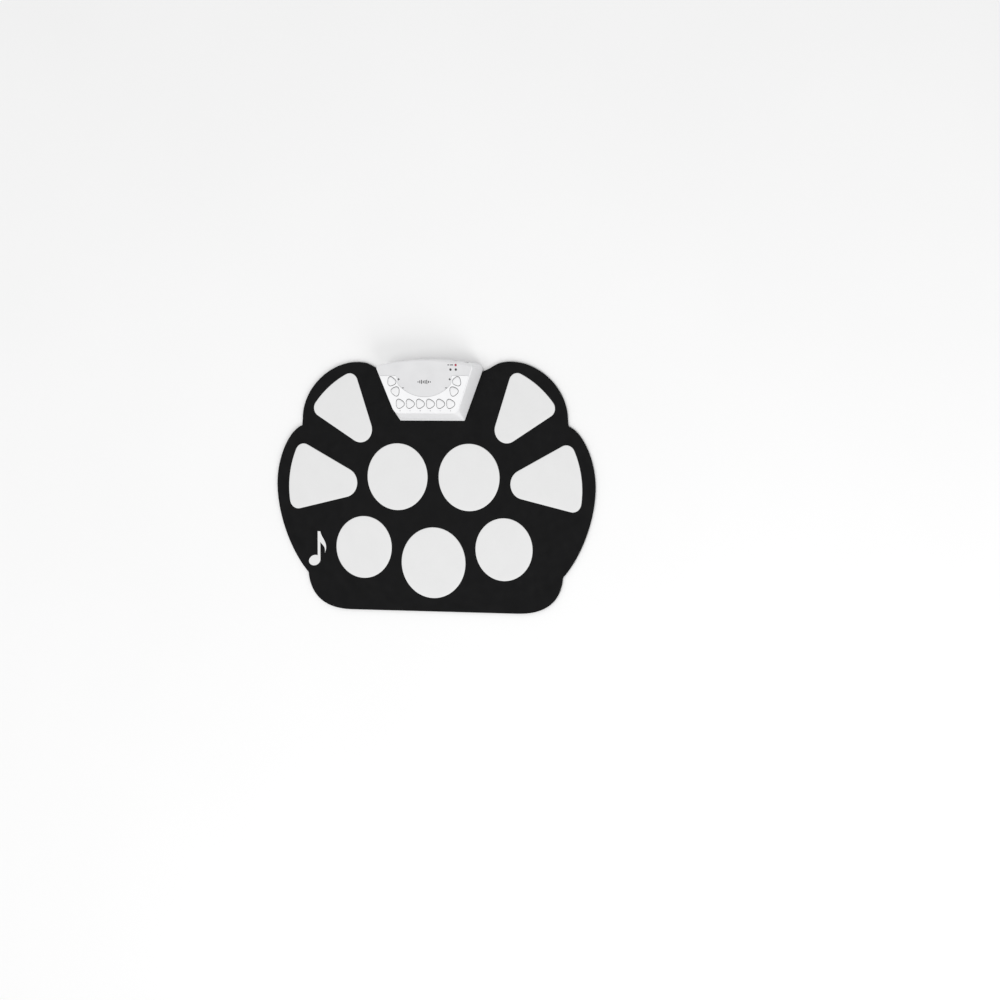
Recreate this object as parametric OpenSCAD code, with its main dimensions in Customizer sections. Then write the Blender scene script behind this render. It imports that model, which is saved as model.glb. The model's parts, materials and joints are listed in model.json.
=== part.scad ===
// Roll-up electronic drum pad: a thin silicone mat with nine white playing pads
// and a small sound module clamped to its far edge.
// X runs to the player's right, Y away from the player, Z up. The origin is on the
// table, under the middle of the whole drum pad.

/* [Mat] */
// Thickness of the silicone mat
mat_t = 3.2; // [3:0.1:3.4]
// Depth of the pockets that the white pads are bonded into
pocket_depth = 1.2; // [0.8:0.1:1.3]
// How far the white pads stand above the mat
pad_proud = 0.3; // [0.1:0.1:0.5]
// Gap between two neighbouring strips of the mat
strip_gap = 0.1; // [0.06:0.02:0.2]
// Radius of the two tom pads
tom_r = 43; // [40:0.5:43]
// Radius of the two outer front pads
floor_r = 40; // [36:0.5:40]
// Radius of the middle front pad
snare_r = 45.4; // [42:0.2:45.4]
// Radius of the touch sensors under the pads
sensor_r = 7.5; // [6:0.5:8]

/* [Sound module] */
// Half of the width of the module's straight front edge
module_front_half = 45.5; // [44:0.5:46]
// Height of the module's top plane at its front edge
module_front_h = 23; // [22.5:0.5:25]
// Tilt of the module's top plane towards the player, in degrees
module_tilt = 5; // [4:0.5:6]
// Wall thickness of the module's two shells
wall = 2; // [1.8:0.1:2.2]
// Height of the light key bezel above the top shell
bezel_h = 0.9; // [0.6:0.1:1.2]
// Thickness of the grey label panel
label_h = 0.35; // [0.2:0.05:0.5]

/* [Keys] */
// Mean radius of a key cap
key_r = 5.9; // [5.4:0.1:6]
// How much a key cap's outline leans from round to three-sided
key_lobe = 0.6; // [0.3:0.1:0.7]
// Height of a key cap above the top shell
key_proud = 1.8; // [1.4:0.1:2.2]
// Free gap all round a key cap
key_gap = 0.25; // [0.2:0.05:0.4]

/* [Sockets and batteries] */
// Radius of the bore of each 3.5 mm jack
jack_bore_r = 1.8; // [1.78:0.01:1.85]
// Length of the bore of each jack
jack_bore_l = 12; // [10:0.5:13]
// Diameter of one AAA cell
cell_d = 10.5; // [10:0.1:10.5]
// Length of one AAA cell
cell_l = 44.5; // [43.5:0.5:44.5]

/* [Hidden] */

// Colours
mat_black = [0.1, 0.1, 0.105];
pad_white = [0.9, 0.9, 0.9];
shell_white = [0.93, 0.93, 0.94];
label_grey = [0.87, 0.87, 0.88];
board_green = [0.1, 0.35, 0.2];
part_black = [0.08, 0.08, 0.09];
metal = [0.75, 0.75, 0.77];
gold = [0.85, 0.68, 0.3];

// Mat outline: the corners where the three lobes of each side meet, and each
// lobe's widest point with the lengths of its curve handles.
shoulder = [69.5, 145.5];
lobe_top = [108.9, 158.3];
lobe_side = [188.2, 85];
upper_notch = [188.9, 76.5];
side_widest = [226, 0];
lower_notch = [181.2, -114.5];
foot_start = [118, -162];
curve_steps = 14;

// Lines along X that the mat rolls up about, from the far one to the near one
roll_lines = [54, 24, -6, -36.5, -63.5, -90, -116.5, -145];
mat_far = 170;
mat_near = -170;

// Pads
tom_at = [50.9, 10.6];
floor_at = [99.6, -80.8];
snare_at = [0, -99.3];
pocket_floor = mat_t - pocket_depth;
pad_top = mat_t + pad_proud;
sensor_t = 0.8;
sensor_fit = 0.1;
upper_sensor_at = [131, 105];
lower_sensor_at = [163, 9];

// Upper cymbal pad: two straight edges, one outer arc, rounded corners
upper_edges = [[98, 105.9], 71.2, [137.5, 71.9], 31.3];
upper_arc = [[67.9, 28.2], 127.5];
upper_rounds = [16.9, 11.5];
// Lower cymbal pad
lower_edges = [[151.4, 35.8], 27.3, [157.7, -23.9], -12.8];
lower_arc = [[88.9, -4], 119.6];
lower_rounds = [19, 12];

// Module plan: straight front, straight leaning sides, one long rear arc
module_front = 83;
lean = 21.8;
rear_centre = [0, -168];
rear_r = 330;
rear_round = 8;
front_round = 1.5;
shell_seat = mat_t + 0.1;
tongue_z = 1.6;
tongue_w = 9;
lip_z = 0.5;
lip_top = 1.5;
floor_top = 2.4;
rim_in = 9.4;
rim_out = 10.8;
rim_top = 8;
screw_points = [[38, 88.6], [60.3, 135]];
peg_point = [50.9, 112];
shell_boss_top = 10;

// Module layers, measured square to the tilted top plane
skirt_front = 9;
skirt_side = 4;
skirt_rear = 1;
top_round = 11;
bezel_inset = 1;
dish_centre = [0, 165.5];
dish_r = 51.7;
dish_cheek_centre = [0, 140];
dish_cheek_r = 38.8;
bezel_far = 141;
key_flange = 0.8;
key_flange_z = -2.1;
key_base_z = -3.1;
key_travel = 0.8;
dome_top_z = key_base_z - key_travel - 0.1;
web_top_z = -4.9;
board_top_z = -5.4;
board_base_z = -7;
function_row_y = 105;
key_pitch = 14.3;
outer_key_at = [46.3, 133.7];
inner_key_at = [41.3, 121];
key_bosses = [[28.6, 116.5], [36.5, 136]];

// Boards, jacks and USB socket
main_z = 15;
main_t = 1.4;
jack_z = 12;
jack_xs = [36, 52];
nose_r = 3;
post_points = [[32, 112], [44, 142]];

// Battery bay
bay_half = 25.5;
bay_y = [120, 156];
bay_wall = 1.2;
bay_roof = 13.5;
cell_z = 7.95;
cell_pitch = 11;
cell_mid_y = 138;
door_half = 24.5;
door_front = 118.3;
door_t = 1.5;
door_rail = 0.8;
rail_z = 1.1;
rail_h = 0.5;

led_at = [[45.3, 154.5], [45.3, 148.7], [37.8, 148.7]];
feet_at = [[32, 101], [45, 138]];

// ---- Helpers ----

function arc(c, r, a0, a1, n) = [for (i = [0:n]) c + r * [cos(a0 + (a1 - a0) * i / n), sin(a0 + (a1 - a0) * i / n)]];

function curve(a, b, c, d) =
  [for (i = [0:curve_steps]) let (t = i / curve_steps)
    pow(1 - t, 3) * a + 3 * pow(1 - t, 2) * t * b + 3 * (1 - t) * t * t * c + pow(t, 3) * d];

function mirrored(points) = [for (i = [len(points) - 1:-1:0]) [-points[i][0], points[i][1]]];

// Distance along a line from p, in direction u, to a circle about c
function reach(p, u, c, r) = let (w = p - c, k = w * u) sqrt(k * k - w * w + r * r) - k;

mat_half = concat(
  curve(shoulder, shoulder + [17, 5.2], lobe_top - [21, 0], lobe_top),
  curve(lobe_top, lobe_top + [39.6, 0], lobe_side + [0, 39.3], lobe_side),
  curve(upper_notch, upper_notch + [20, -7], side_widest + [0, 34], side_widest),
  curve(side_widest, side_widest - [0, 40.6], lower_notch + [25, 26], lower_notch),
  curve(lower_notch - [0.4, 1], lower_notch + [-3.9, -33], foot_start + [36.7, 0], foot_start)
);

// Half of the module's outline, from the front to the middle of the rear arc
function module_half(front, inset, rear, corner, nose) =
  let (
    u = [sin(lean), cos(lean)],
    n = [cos(lean), -sin(lean)],
    start = [module_front_half, module_front],
    front_line = start - (inset + nose) * n,
    front_c = front_line + u * (front + nose - front_line[1]) / u[1],
    rear_line = start - (inset + corner) * n,
    rear_c = rear_line + u * reach(rear_line, u, rear_centre, rear - corner),
    turn = atan2(rear_c[1] - rear_centre[1], rear_c[0])
  )
  concat(
    arc(front_c, nose, -90, -lean, 4),
    arc(rear_c, corner, -lean, turn, 8),
    arc(rear_centre, rear, turn, 90, 8)
  );

module module_plan(front_inset, side_inset, rear_inset, nose = front_round) {
  half = module_half(
    module_front + front_inset, side_inset, rear_r - rear_inset,
    max(rear_round - side_inset, 1.5), nose
  );
  polygon(concat(half, mirrored(half)));
}

module inset_plan(d) module_plan(d, d, d);

module top_plan(d) module_plan(skirt_front + d, skirt_side + d, skirt_rear + d, top_round - d);

module on_top_plane() {
  translate([0, module_front, module_front_h])
    rotate([module_tilt, 0, 0])
      translate([0, -module_front, 0])
        children();
}

module both_sides() {
  children();
  mirror([1, 0, 0]) children();
}

module tube(r, z0, z1) translate([0, 0, z0]) cylinder(h = z1 - z0, r = r, $fn = 40);

module slab(z0, z1) translate([0, 0, z0]) linear_extrude(z1 - z0) children();

module block(x0, x1, y0, y1, z0, z1) translate([x0, y0, z0]) cube([x1 - x0, y1 - y0, z1 - z0]);

// ---- Mat ----

module mat_plan() polygon(concat([[0, foot_start[1]]], [for (i = [len(mat_half) - 1:-1:0]) mat_half[i]],
  [[0, shoulder[1]]], mirrored([for (i = [len(mat_half) - 1:-1:0]) mat_half[i]])));

// The band of the mat between two roll lines
module band(k) {
  y0 = k == len(roll_lines) ? mat_near : roll_lines[k] + strip_gap / 2;
  y1 = k == 0 ? mat_far : roll_lines[k - 1] - strip_gap / 2;
  translate([-240, y0]) square([480, y1 - y0]);
}

function wedge(edges, ring, rounds) =
  let (
    a1 = edges[1],
    a2 = edges[3],
    u1 = [cos(a1), sin(a1)],
    u2 = [cos(a2), sin(a2)],
    n1 = [sin(a1), -cos(a1)],
    n2 = [-sin(a2), cos(a2)],
    tip = rounds[0],
    corner = rounds[1],
    p1 = edges[0] + tip * n1,
    p2 = edges[2] + tip * n2,
    tip_c = p1 + u1 * cross(p2 - p1, u2) / cross(u1, u2),
    q1 = edges[0] + corner * n1,
    q2 = edges[2] + corner * n2,
    far_c = q1 + u1 * reach(q1, u1, ring[0], ring[1] - corner),
    near_c = q2 + u2 * reach(q2, u2, ring[0], ring[1] - corner),
    far_a = atan2(far_c[1] - ring[0][1], far_c[0] - ring[0][0]),
    near_a = atan2(near_c[1] - ring[0][1], near_c[0] - ring[0][0])
  )
  concat(
    arc(tip_c, tip, a1 + 90, a2 + 270, 12),
    arc(near_c, corner, a2 - 90, near_a, 8),
    arc(ring[0], ring[1], near_a, far_a, 24),
    arc(far_c, corner, far_a, a1 + 90, 8)
  );

module upper_cymbal_plan() polygon(wedge(upper_edges, upper_arc, upper_rounds));

module lower_cymbal_plan() polygon(wedge(lower_edges, lower_arc, lower_rounds));

module pads_plan() {
  both_sides() upper_cymbal_plan();
  both_sides() lower_cymbal_plan();
  both_sides() translate(tom_at) circle(r = tom_r, $fn = 96);
  both_sides() translate(floor_at) circle(r = floor_r, $fn = 96);
  translate(snare_at) circle(r = snare_r, $fn = 96);
}

// One disc at each sensor that lies in a band of the mat
module sensor_discs(k, r, z0, z1) {
  if (k == 0) both_sides() translate(upper_sensor_at) tube(r, z0, z1);
  if (k == 2) both_sides() translate(tom_at) tube(r, z0, z1);
  if (k == 2) both_sides() translate(lower_sensor_at) tube(r, z0, z1);
  if (k == 5) both_sides() translate(floor_at) tube(r, z0, z1);
  if (k == 6) translate(snare_at) tube(r, z0, z1);
}

module mat_band(k) {
  difference() {
    slab(0, mat_t) intersection() {
      mat_plan();
      band(k);
    }
    slab(pocket_floor, mat_t + 1) pads_plan();
    sensor_discs(k, sensor_r + sensor_fit, pocket_floor - sensor_t - sensor_fit, mat_t);
  }
}

module pads_band(k) {
  color(pad_white) slab(pocket_floor, pad_top) intersection() {
    pads_plan();
    band(k);
  }
}

module mat_strip(k) color(mat_black) mat_band(k);

// The head holds the tongue that the module's two shells clamp
module mat_head() {
  color(mat_black) difference() {
    mat_band(0);
    slab(-1, tongue_z) inset_plan(0.2);
    slab(-1, mat_t + 1) tongue_hole_plan();
    both_sides() for (p = screw_points) translate(p) tube(1.7, -1, mat_t + 1);
    both_sides() translate(peg_point) tube(1.7, -1, mat_t + 1);
  }
}

module tongue_hole_plan() {
  intersection() {
    inset_plan(tongue_w);
    translate([-100, 0]) square([200, 140]);
  }
  polygon([[-58.5, 139.9], [-70.2, 146.2], [-70.2, 170], [70.2, 170], [70.2, 146.2], [58.5, 139.9]]);
}

module upper_cymbal_pad() slab(pocket_floor, pad_top) upper_cymbal_plan();

module upper_cymbal_pad_left() color(pad_white) mirror([1, 0, 0]) upper_cymbal_pad();

module upper_cymbal_pad_right() color(pad_white) upper_cymbal_pad();

module sensors(k) color(gold) sensor_discs(k, sensor_r, pocket_floor - sensor_t, pocket_floor);

// ---- Module shells ----

module outer_form() {
  hull() {
    slab(shell_seat, shell_seat + 1.5) inset_plan(0);
    on_top_plane() slab(-0.6, 0) top_plan(0);
  }
}

module inner_form() {
  hull() {
    slab(shell_seat - 1, shell_seat + 1.5) inset_plan(wall);
    on_top_plane() slab(-wall - 0.6, -wall) top_plan(wall);
  }
}

module key_plan(at, turn, grow) {
  translate(at) rotate(turn)
    polygon([for (a = [0:10:350]) (key_r + grow + key_lobe * cos(3 * a)) * [cos(a), sin(a)]]);
}

function function_key_at(i) = [(i - 3.5) * key_pitch, function_row_y];

module all_keys_plan(grow) {
  for (i = [1:6]) key_plan(function_key_at(i), 0, grow);
  both_sides() {
    key_plan(outer_key_at, 90 - lean, grow);
    key_plan(inner_key_at, 270 - lean, grow);
  }
}

module jack_layout() {
  for (x = jack_xs, s = [-1, 1]) translate([s * x, 0, jack_z]) rotate([-90, 0, 0]) children();
}

module top_shell() {
  color(shell_white) difference() {
    union() {
      difference() {
        outer_form();
        inner_form();
      }
      slab(shell_seat, shell_seat + 1.5) difference() {
        inset_plan(1);
        inset_plan(tongue_w);
        translate([-80, 146]) square([160, 20]);
      }
      both_sides() for (p = screw_points) translate(p) tube(2.7, shell_seat, shell_boss_top);
      on_top_plane() both_sides() for (p = key_bosses) translate(p) tube(2, board_top_z, -wall + 0.1);
    }
    on_top_plane() slab(-wall - 1, 1) all_keys_plan(key_gap);
    on_top_plane() for (p = led_at) translate(p) tube(1.6, -wall - 3, 1);
    on_top_plane() both_sides() for (p = key_bosses) translate(p) tube(0.85, board_top_z - 1, -wall - 0.6);
    both_sides() for (p = screw_points) translate(p) tube(1.25, 2, shell_boss_top - 1);
    both_sides() translate(peg_point) tube(1.6, 2, shell_seat + 3);
    jack_layout() tube(nose_r + 0.15, 150, 170);
    block(-4.1, 4.1, 150, 170, 16.1, 19.3);
  }
}

module bottom_shell() {
  color(shell_white) difference() {
    union() {
      slab(lip_z, lip_top) inset_plan(0.6);
      slab(lip_z, floor_top) intersection() {
        inset_plan(rim_in);
        translate([-80, 0]) square([160, 146]);
      }
      slab(lip_z, floor_top) intersection() {
        inset_plan(0.6);
        translate([-57, 146.5]) square([114, 20]);
      }
      slab(lip_top - 0.1, shell_seat - 0.1) intersection() {
        difference() {
          inset_plan(0.6);
          inset_plan(3);
        }
        translate([-80, 147.5]) square([160, 20]);
      }
      slab(floor_top - 0.1, rim_top) intersection() {
        difference() {
          inset_plan(rim_in);
          inset_plan(rim_out);
        }
        translate([-80, 0]) square([160, 138]);
      }
      both_sides() translate(peg_point) tube(1.5, lip_top - 0.1, shell_seat + 1.5);
      both_sides() for (p = post_points) translate(p) tube(2.5, floor_top - 0.1, main_z);
      both_sides() for (p = post_points) translate(p) tube(1, main_z - 0.1, main_z + main_t);
      block(-bay_half - bay_wall, bay_half + bay_wall, bay_y[0] - bay_wall, bay_y[1] + bay_wall,
        floor_top - 0.1, bay_roof + 1);
    }
    block(-bay_half, bay_half, bay_y[0], bay_y[1], floor_top - 0.1, bay_roof);
    block(-door_half + 0.7, door_half - 0.7, bay_y[0], bay_y[1], 0, floor_top + 1);
    block(-door_half - 0.1, door_half + 0.1, door_front - 0.2, 170, 0, lip_z + door_t + 0.1);
    block(-door_half - door_rail - 0.1, door_half + door_rail + 0.1, door_front - 0.2, 170,
      rail_z - 0.1, rail_z + rail_h + 0.1);
    block(-13, 13, 90, 96, floor_top, rim_top + 1);
    both_sides() for (p = screw_points) translate(p) tube(1.4, 0, 3);
    both_sides() for (p = screw_points) translate(p) tube(2.6, 0, 0.9);
    both_sides() for (p = feet_at) translate(p) tube(4.6, 0, 0.9);
  }
}

// ---- Keypad ----

// The dish between the bezel's arms: a wide arc below, closed in by a tighter one
module dish_plan(d) {
  intersection() {
    translate(dish_centre) circle(r = dish_r - d, $fn = 120);
    translate(dish_cheek_centre) circle(r = dish_cheek_r - d, $fn = 120);
  }
}

module bezel_plan() {
  difference() {
    intersection() {
      top_plan(bezel_inset);
      translate([-80, 0]) square([160, bezel_far]);
    }
    dish_plan(0);
  }
}

module key_bezel() {
  color(shell_white) on_top_plane() slab(0, bezel_h) difference() {
    bezel_plan();
    all_keys_plan(key_gap);
  }
}

module label_panel() {
  color(label_grey) on_top_plane() difference() {
    slab(0, label_h) {
      intersection() {
        top_plan(bezel_inset);
        union() {
          dish_plan(0.15);
          translate([-80, bezel_far + 0.15]) square([160, 40]);
        }
      }
    }
    for (p = led_at) translate(p) tube(1.6, -1, 1);
  }
}

module key_cap(at, turn) {
  color(pad_white) on_top_plane() {
    slab(key_flange_z, key_proud - 0.4) key_plan(at, turn, 0);
    slab(key_proud - 0.41, key_proud) key_plan(at, turn, -0.4);
    slab(key_base_z, key_flange_z + 0.01) key_plan(at, turn, key_flange);
  }
}

module volume_up_key() mirror([1, 0, 0]) key_cap(outer_key_at, 90 - lean);

module volume_down_key() mirror([1, 0, 0]) key_cap(inner_key_at, 270 - lean);

module tempo_up_key() key_cap(outer_key_at, 90 - lean);

module tempo_down_key() key_cap(inner_key_at, 270 - lean);

module function_key(i) key_cap(function_key_at(i), 0);

module keypad_plan(d) {
  half = [[43 - d, 97.5 + d], [59.5 - d, 139 - d], [33 + d, 139 - d], [26 + d, 120 - d]];
  polygon(concat(half, mirrored(half)));
}

module keypad_membrane() {
  color("gray") on_top_plane() difference() {
    union() {
      slab(board_top_z, web_top_z) keypad_plan(0.5);
      for (i = [1:6]) translate(function_key_at(i)) tube(3, web_top_z - 0.1, dome_top_z);
      both_sides() translate(outer_key_at) tube(3, web_top_z - 0.1, dome_top_z);
      both_sides() translate(inner_key_at) tube(3, web_top_z - 0.1, dome_top_z);
    }
    both_sides() for (p = key_bosses) translate(p) tube(2.2, -9, 0);
  }
}

module key_board() {
  color(board_green) on_top_plane() difference() {
    slab(board_base_z, board_top_z) keypad_plan(0);
    both_sides() for (p = key_bosses) translate(p) tube(1, -9, 0);
  }
}

module key_board_screws() {
  color(metal) on_top_plane() both_sides() for (p = key_bosses) translate(p) {
    tube(1.7, board_base_z - 1.1, board_base_z);
    tube(0.8, board_base_z - 0.1, -wall - 1);
  }
}

module board_header() {
  color(part_black) difference() {
    block(-10, 10, 110, 113.5, main_z + main_t, main_z + 8);
    on_top_plane() block(-20, 20, 90, 130, board_base_z, board_base_z + 20);
  }
}

// ---- Main board ----

module main_board() {
  color(board_green) difference() {
    slab(main_z, main_z + main_t) module_plan(19, 7.5, 4);
    both_sides() for (p = post_points) translate(p) tube(1.1, 10, 20);
  }
}

module board_chips() {
  z = main_z + main_t;
  color(part_black) {
    block(-8, 8, 127, 141, z, z + 1.6);
    block(16, 24, 130, 136, z, z + 1.4);
    block(-26, -18, 128, 138, z, z + 1.4);
    block(-4, 5, 144, 147.5, z, z + 2.2);
    for (x = [-14, 14, 20]) translate([x, 148, 0]) tube(2, z, z + 3);
  }
}

module led(at) {
  on_top_plane() translate(at) {
    tube(1.5, -wall - 1.9, 0.2);
    translate([0, 0, 0.2]) cylinder(h = 0.4, r1 = 1.5, r2 = 0.9, $fn = 40);
  }
  for (dx = [-0.7, 0.7]) translate([at[0] + dx, at[1], 0]) tube(0.3, main_z + main_t, module_front_h + 1);
}

module power_led() color([0.85, 0.1, 0.1]) led(led_at[0]);

module status_leds() {
  color([0.25, 0.25, 0.28]) {
    led(led_at[1]);
    led(led_at[2]);
  }
}

// A 3.5 mm jack: a box under the board with a round nose through the rear wall
module jack(x) {
  nose_end = rear_centre[1] + sqrt(pow(rear_r - 0.3, 2) - x * x) - 0.3;
  inner_wall = rear_centre[1] + sqrt(pow(rear_r - wall - 1.6, 2) - (abs(x) + 4) * (abs(x) + 4));
  color(part_black) difference() {
    union() {
      block(x - 4, x + 4, nose_end - jack_bore_l - 1.5, inner_wall, jack_z - 3.6, main_z);
      translate([x, 0, jack_z]) rotate([-90, 0, 0]) tube(nose_r, inner_wall - 1, nose_end);
    }
    translate([x, 0, jack_z]) rotate([-90, 0, 0]) tube(jack_bore_r, nose_end - jack_bore_l, nose_end + 1);
  }
}

module pedal_jack_left() jack(-jack_xs[1]);

module pedal_jack_right() jack(-jack_xs[0]);

module phones_jack() jack(jack_xs[0]);

module aux_jack() jack(jack_xs[1]);

module usb_socket() {
  z = main_z + main_t;
  color(metal) difference() {
    block(-3.8, 3.8, 154.8, 160.8, z, z + 2.6);
    block(-3.4, 3.4, 156, 170, z + 0.4, z + 2.2);
  }
  color(part_black) block(-2.4, 2.4, 155.5, 160, z + 1.5, z + 1.9);
}

module ribbon_tail() {
  color(gold) translate([-12, 0, 0]) rotate([90, 0, 90]) linear_extrude(24)
    polygon([[92.1, 2.6], [98.5, 2.6], [103.8, 8.5], [103.8, 11], [103.4, 11], [103.4, 8.7], [98.3, 3],
      [92.1, 3]]);
}

module ribbon_connector() {
  color(part_black) difference() {
    block(-14, 14, 102, 105.2, 10.5, main_z);
    block(-12.2, 12.2, 103.3, 103.9, 10, 11.1);
  }
}

// ---- Battery bay ----

module battery_door() {
  color(shell_white) {
    slab(lip_z, lip_z + door_t) intersection() {
      inset_plan(0.8);
      translate([-door_half, door_front]) square([2 * door_half, 60]);
    }
    both_sides() block(door_half - 0.1, door_half + door_rail, door_front, 157, rail_z, rail_z + rail_h);
  }
}

module battery_cells() {
  color("royalblue") for (i = [-1, 0, 1]) translate([0, cell_mid_y + i * cell_pitch, cell_z])
    rotate([0, i == 0 ? -90 : 90, 0]) {
      tube(cell_d / 2, -cell_l / 2, cell_l / 2 - 1);
      tube(1.9, cell_l / 2 - 1.1, cell_l / 2);
    }
}

module battery_contacts() {
  color(metal) for (i = [-1, 0, 1], s = [-1, 1]) translate([0, cell_mid_y + i * cell_pitch, cell_z]) {
    reach_in = s * (i == 0 ? -1 : 1) > 0 ? 2.2 : 2.9;
    block(min(s * 25.4, s * 24.9), max(s * 25.4, s * 24.9), -4, 4, -4, 4);
    translate([s * 24.95, 0, 0]) rotate([0, -s * 90, 0]) cylinder(h = reach_in - 0.3, r1 = 3, r2 = 1.6, $fn = 40);
  }
}

// ---- Fasteners and feet ----

module case_screws() {
  color(metal) both_sides() for (p = screw_points) translate(p) {
    tube(2.4, 0.1, 0.9);
    tube(1.2, 0.8, shell_boss_top - 1.2);
  }
}

module rubber_feet() color(part_black) both_sides() for (p = feet_at) translate(p) tube(4.5, 0, 0.9);

mat_head();
mat_strip(1);  // mat_strip_1
mat_strip(2);  // mat_strip_2
mat_strip(3);  // mat_strip_3
mat_strip(4);  // mat_strip_4
mat_strip(5);  // mat_strip_5
mat_strip(6);  // mat_strip_6
mat_strip(7);  // mat_strip_7
mat_strip(8);  // mat_strip_8
upper_cymbal_pad_left();
upper_cymbal_pad_right();
pads_band(1);  // pads_strip_1
pads_band(2);  // pads_strip_2
pads_band(3);  // pads_strip_3
pads_band(4);  // pads_strip_4
pads_band(5);  // pads_strip_5
pads_band(6);  // pads_strip_6
pads_band(7);  // pads_strip_7
sensors(0);  // sensors_upper
sensors(2);  // sensors_row_1
sensors(5);  // sensors_row_2
sensors(6);  // sensor_centre
top_shell();
bottom_shell();
key_bezel();
label_panel();
volume_up_key();
volume_down_key();
tempo_up_key();
tempo_down_key();
function_key(1);  // function_key_1
function_key(2);  // function_key_2
function_key(3);  // function_key_3
function_key(4);  // function_key_4
function_key(5);  // function_key_5
function_key(6);  // function_key_6
keypad_membrane();
key_board();
key_board_screws();
board_header();
main_board();
board_chips();
power_led();
status_leds();
pedal_jack_left();
pedal_jack_right();
phones_jack();
aux_jack();
usb_socket();
ribbon_tail();
ribbon_connector();
battery_door();
battery_cells();
battery_contacts();
case_screws();
rubber_feet();
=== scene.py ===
# %% [markdown]
# # A roll-up electronic drum pad
#
# The real object is a thin sheet of black silicone with nine white playing pads
# set into it, and a small plastic sound module clamped to its far edge. The
# imported model already holds every part at its true size, with the joints. This
# lesson dresses it: rounded moulded edges, fine surfaces, and a mat built as one
# smooth sheet and then cut across at its roll lines.

# %% Load the imported model
import json
import math

import bmesh
import bpy
from mathutils import Matrix, Vector
from mathutils.geometry import delaunay_2d_cdt


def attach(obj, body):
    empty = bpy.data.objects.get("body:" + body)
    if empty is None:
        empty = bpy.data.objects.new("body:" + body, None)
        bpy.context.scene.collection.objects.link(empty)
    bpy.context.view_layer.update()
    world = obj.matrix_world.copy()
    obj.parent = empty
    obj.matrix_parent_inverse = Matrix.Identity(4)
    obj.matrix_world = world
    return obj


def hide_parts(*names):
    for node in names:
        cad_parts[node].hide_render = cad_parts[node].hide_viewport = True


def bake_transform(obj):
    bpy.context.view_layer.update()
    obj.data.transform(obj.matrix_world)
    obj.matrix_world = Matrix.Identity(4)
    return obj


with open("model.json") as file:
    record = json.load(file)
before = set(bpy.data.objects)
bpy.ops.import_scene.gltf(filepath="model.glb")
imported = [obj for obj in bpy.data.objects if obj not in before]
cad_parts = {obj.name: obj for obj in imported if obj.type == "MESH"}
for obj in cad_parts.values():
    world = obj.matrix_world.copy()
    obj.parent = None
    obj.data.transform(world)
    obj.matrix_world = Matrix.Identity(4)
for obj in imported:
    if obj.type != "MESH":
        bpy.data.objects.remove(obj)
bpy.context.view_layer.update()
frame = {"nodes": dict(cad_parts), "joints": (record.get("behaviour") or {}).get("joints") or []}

# %% [markdown]
# ## Outlines
#
# Most of the parts are flat shapes with a rounded edge, so the lesson works in
# millimetres with plain lists of points, and turns them into metres only when a
# mesh is finished. Three helpers cover every outline here: an arc, a curve with
# two handles, and a copy mirrored across the middle of the drum pad.

# %% Arcs, curves and mirrored halves
MM = 0.001


def arc(centre, radius, start, end, steps):
    """Points on an arc from one angle to another, in degrees."""
    angles = [math.radians(start + (end - start) * i / steps) for i in range(steps + 1)]
    return [(centre[0] + radius * math.cos(a), centre[1] + radius * math.sin(a)) for a in angles]


def curve(a, b, c, d, steps=16):
    """Points on a curve from a to d, with handles at b and c."""
    weights = [((1 - t) ** 3, 3 * (1 - t) ** 2 * t, 3 * (1 - t) * t * t, t ** 3)
               for t in (i / steps for i in range(steps + 1))]
    return [tuple(sum(w * p[axis] for w, p in zip(row, (a, b, c, d))) for axis in (0, 1)) for row in weights]


def mirrored(points):
    return [(-x, y) for x, y in reversed(points)]


def without_repeats(points, least=0.02):
    """The same closed outline with no two points on top of each other."""
    return [p for p, before in zip(points, points[-1:] + points[:-1]) if math.dist(p, before) > least]


def inset(outline, distance):
    """A closed outline, listed anticlockwise, moved inwards by a distance."""
    moved = []
    for i, point in enumerate(outline):
        here = Vector(point)
        before = (here - Vector(outline[i - 1])).normalized()
        after = (Vector(outline[(i + 1) % len(outline)]) - here).normalized()
        inward = Vector((-before.y, before.x))
        middle = (inward + Vector((-after.y, after.x))).normalized()
        moved.append(tuple(here + middle * (distance / max(0.5, middle.dot(inward)))))
    return moved


# %% [markdown]
# ## From outline to solid
#
# A moulded part is a stack of rings. Each ring is the outline, moved in by a
# little and lifted by a little, so a short list of (inset, height) pairs is the
# cross-section of its edge. Bridging the rings and filling the last ones gives a
# closed solid with a real rounded edge, which a bevel on a finished mesh with
# many holes would struggle to give.

# %% Rings, walls and fills
INSIDE = 1


def is_inside(point, segments):
    """True if a line from the point to the right crosses the outline an odd number of times."""
    x, y = point
    crossings = [a for a, b in segments
                 if (a.y > y) != (b.y > y) and x < a.x + (b.x - a.x) * (y - a.y) / (b.y - a.y)]
    return len(crossings) % 2 == 1


def on_table(x, y, z):
    return Vector((x, y, z))


def loop(outline, height, place=on_table):
    """A flat outline as points in space, at one height of a place."""
    return [place(x, y, height) for x, y in outline]


def bridge(bm, lower, upper):
    """A band of faces between two rings that have the same number of points."""
    for i in range(len(lower)):
        j = (i + 1) % len(lower)
        bm.faces.new((lower[i], lower[j], upper[j], upper[i]))


def loft(bm, loops):
    """Bridges loops that have the same number of points. Gives the first and last ring."""
    rings = [[bm.verts.new(p) for p in points] for points in loops]
    for lower, upper in zip(rings, rings[1:]):
        bridge(bm, lower, upper)
    return rings[0], rings[-1]


def tube_ring(bm, loops):
    """Bridges loops one after another and the last to the first, for a ring with a hole through it."""
    rings = [[bm.verts.new(p) for p in points] for points in loops]
    for lower, upper in zip(rings, rings[1:] + rings[:1]):
        bridge(bm, lower, upper)


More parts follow.
